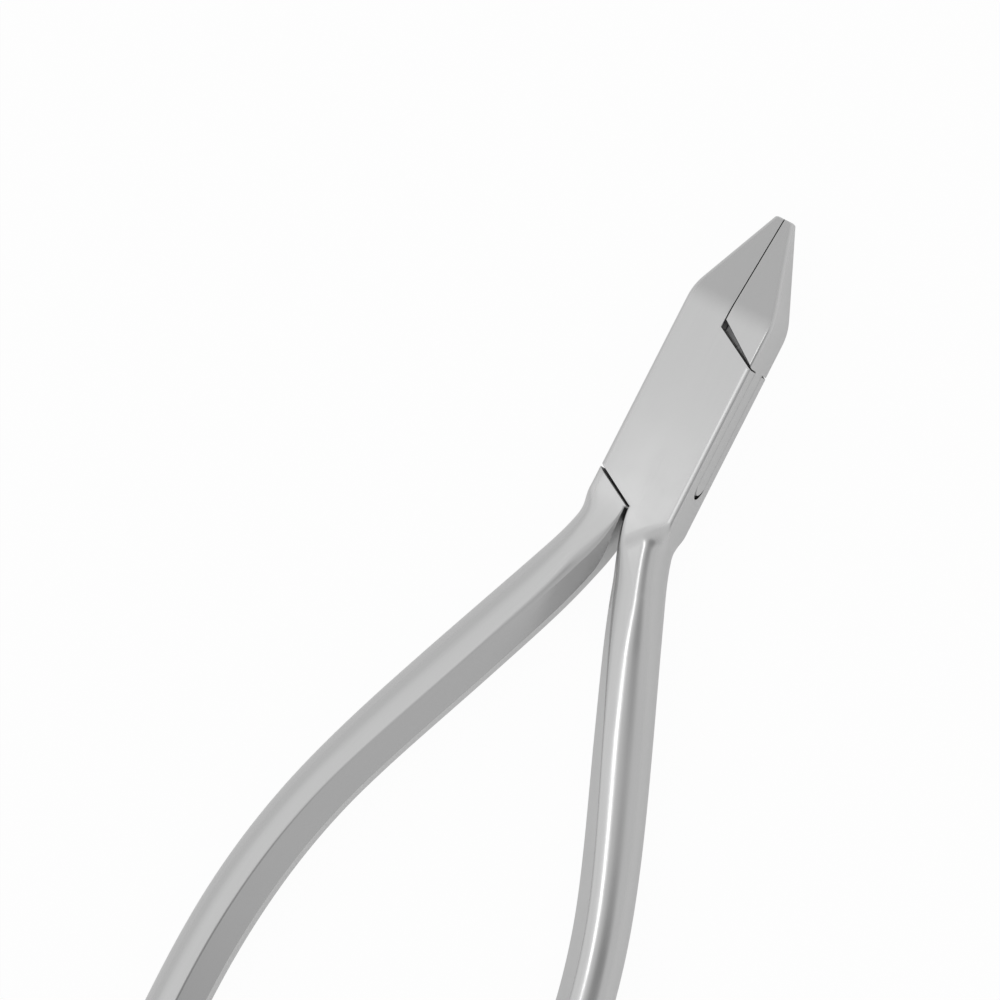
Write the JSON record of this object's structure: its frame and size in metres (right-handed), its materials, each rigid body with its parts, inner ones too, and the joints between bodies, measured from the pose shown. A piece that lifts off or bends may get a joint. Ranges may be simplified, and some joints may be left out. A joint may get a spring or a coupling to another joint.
{
  "type": "orthodontic pliers",
  "caption": "Box-joint wire-bending pliers with square tapering beaks, a tongue running through a slotted joint block, and two bowed handles turning on a flush rivet.",
  "frame": {"origin": "point where the pivot axis meets the back face of the joint, which is the face that the pliers lie on", "axes": "+Y towards the beak tips, +Z from the back face to the front face along the pivot axis, +X to the right seen from the front"},
  "size_m": [0.0576, 0.1297, 0.0092],
  "materials": {
    "forged_steel": "satin stainless steel with a fine grain along the pliers",
    "rivet_steel": "ground flush with the joint faces, satin"
  },
  "bodies": {
    "slotted_half": {"slotted_half": "forged_steel", "pivot_rivet": "rivet_steel"},
    "tongue_half": {"tongue_half": "forged_steel"}
  },
  "joints": [
    {"name": "box_joint", "type": "hinge", "parent": "slotted_half", "child": "tongue_half", "pos_m": [0, 0, 0.0046], "axis": [0, 0, -1], "range_deg": [0, 25]}
  ]
}
